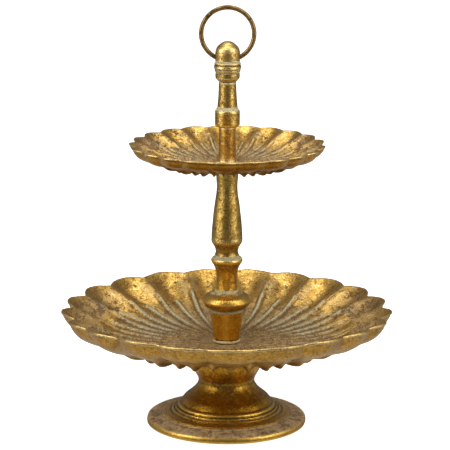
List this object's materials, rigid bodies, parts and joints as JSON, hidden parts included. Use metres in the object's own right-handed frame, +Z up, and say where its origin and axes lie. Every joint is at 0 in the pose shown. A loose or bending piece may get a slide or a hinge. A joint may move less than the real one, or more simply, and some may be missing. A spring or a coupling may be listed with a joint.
{
  "type": "two-tier cake stand",
  "caption": "Two-tier cake stand: scalloped, ribbed gold dishes on a turned stem and bell foot, topped by a screw-on finial with a swinging ring handle.",
  "frame": {"origin": "centre of the foot's flat underside, on the axis of the stem", "axes": "+Z up along the stem; X in the plane of the upright ring handle; -Y is the front"},
  "size_m": [0.3686, 0.3688, 0.4697],
  "materials": {
    "gold_leaf": "antique gold leaf over a brown ground, rubbed and tarnished",
    "aged_brass": "dark aged brass",
    "brass": "turned, knurled",
    "steel": "zinc plated",
    "rubber": "matt",
    "felt": "wool felt"
  },
  "bodies": {
    "stand": {"base_felt": "felt", "base_plate": "steel", "base_washer": "steel", "base_nut": "steel", "pedestal": "gold_leaf", "pedestal_gasket": "rubber", "lower_dish": "gold_leaf", "lower_clamp_washer": "steel", "lower_clamp_nut": "steel", "ferrule_gasket": "rubber", "ferrule": "gold_leaf", "knop": "gold_leaf", "trumpet_neck": "gold_leaf", "baluster": "gold_leaf", "baluster_foot_insert": "brass", "baluster_head_insert": "brass", "lower_rod": "steel", "upper_rod": "steel", "upper_gasket_below": "rubber", "upper_dish": "gold_leaf", "upper_clamp_washer": "steel", "upper_clamp_nut": "steel", "upper_gasket_above": "rubber", "sleeve": "gold_leaf", "sleeve_collar": "gold_leaf", "spindle_neck": "gold_leaf"},
    "finial_lift": {"finial_washer": "rubber"},
    "finial": {"finial_collar": "gold_leaf", "finial_insert": "brass", "finial_dome": "gold_leaf"},
    "ring": {"ring_handle": "aged_brass"}
  },
  "joints": [
    {"name": "finial_lift", "type": "slide", "parent": "stand", "child": "finial_lift", "axis": [0, 0, 1], "range_m": [0, 0.012]},
    {"name": "finial_turn", "type": "hinge", "parent": "finial_lift", "child": "finial", "pos_m": [0, 0, 0.3869], "axis": [0, 0, 1], "range_deg": [0, 4320]},
    {"name": "ring_swing", "type": "hinge", "parent": "finial", "child": "ring", "pos_m": [0, 0, 0.4125], "axis": [1, 0, 0], "range_deg": [-160, 160]}
  ],
  "couplings": [
    {"joint": "finial_lift", "follows": "finial_turn", "m_per_rad": 0.00015915}
  ]
}
